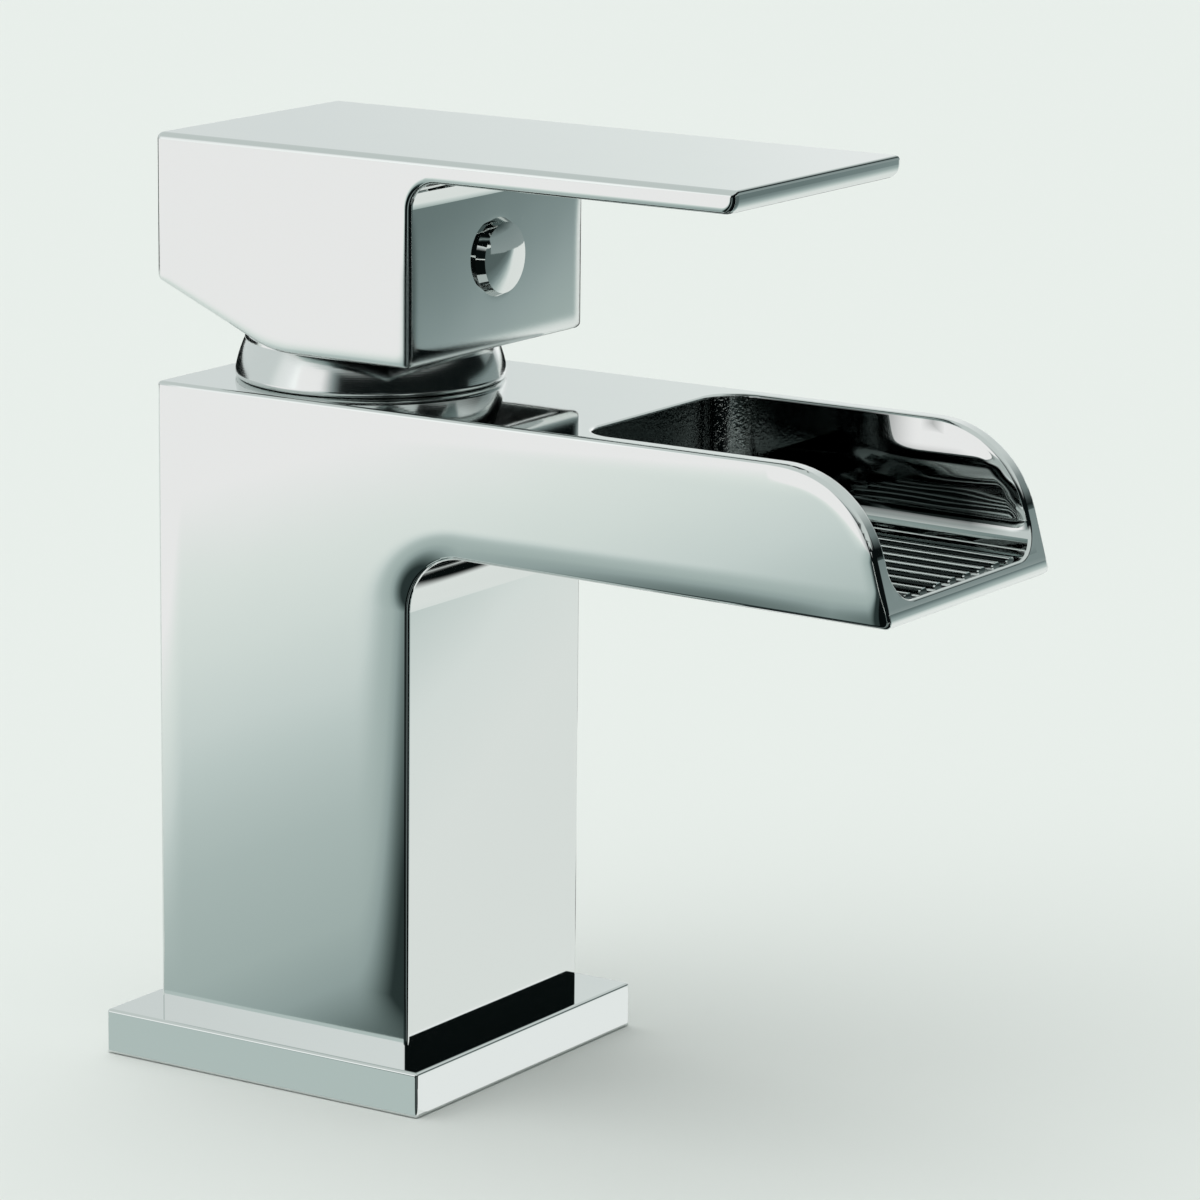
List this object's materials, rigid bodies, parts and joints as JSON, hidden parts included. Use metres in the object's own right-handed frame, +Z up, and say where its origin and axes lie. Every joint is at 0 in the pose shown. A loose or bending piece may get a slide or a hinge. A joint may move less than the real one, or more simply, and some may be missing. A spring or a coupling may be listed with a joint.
{
  "type": "basin mixer tap",
  "caption": "Square single-lever basin mixer with an open waterfall spout; the lever lifts for flow and turns for temperature.",
  "frame": {"origin": "centre of the tap hole, on the deck under the base plate and on the column's axis", "axes": "+Z up, spout and lever point along -Y, +X to the right as seen from the front"},
  "size_m": [0.058, 0.1334, 0.1419],
  "materials": {
    "chrome": "polished",
    "brass": "satin",
    "steel": "satin",
    "rubber": "matte",
    "ceramic": "satin",
    "white_plastic": "satin",
    "grey_plastic": "satin"
  },
  "bodies": {
    "tap": {"tap_body": "chrome", "base_plate": "chrome", "base_gasket": "rubber", "spigot_o_ring": "rubber", "cartridge_base": "grey_plastic", "inlet_seals": "rubber", "fixed_disc": "ceramic", "glide_ring": "white_plastic", "cartridge_shell": "white_plastic", "shell_o_ring": "rubber", "gland_nut": "brass", "dome_cover": "chrome", "dome_o_ring": "rubber"},
    "swivel": {"rotor": "grey_plastic", "pivot_pin": "steel"},
    "lever": {"lever_handle": "chrome", "spindle": "brass", "grub_screw": "steel", "screw_plug": "chrome"},
    "slider": {"moving_disc": "ceramic", "disc_carrier": "grey_plastic"}
  },
  "joints": [
    {"name": "lever_swivel", "type": "hinge", "parent": "tap", "child": "swivel", "pos_m": [0, 0, 0.104], "axis": [0, 0, 1], "range_deg": [-50, 50]},
    {"name": "lever_lift", "type": "hinge", "parent": "swivel", "child": "lever", "pos_m": [0, 0, 0.104], "axis": [-1, 0, 0], "range_deg": [0, 25]},
    {"name": "disc_slide", "type": "slide", "parent": "swivel", "child": "slider", "axis": [0, -1, 0], "range_m": [0, 0.00424]}
  ],
  "couplings": [
    {"joint": "disc_slide", "follows": "lever_lift", "m_per_rad": 0.0096857}
  ]
}
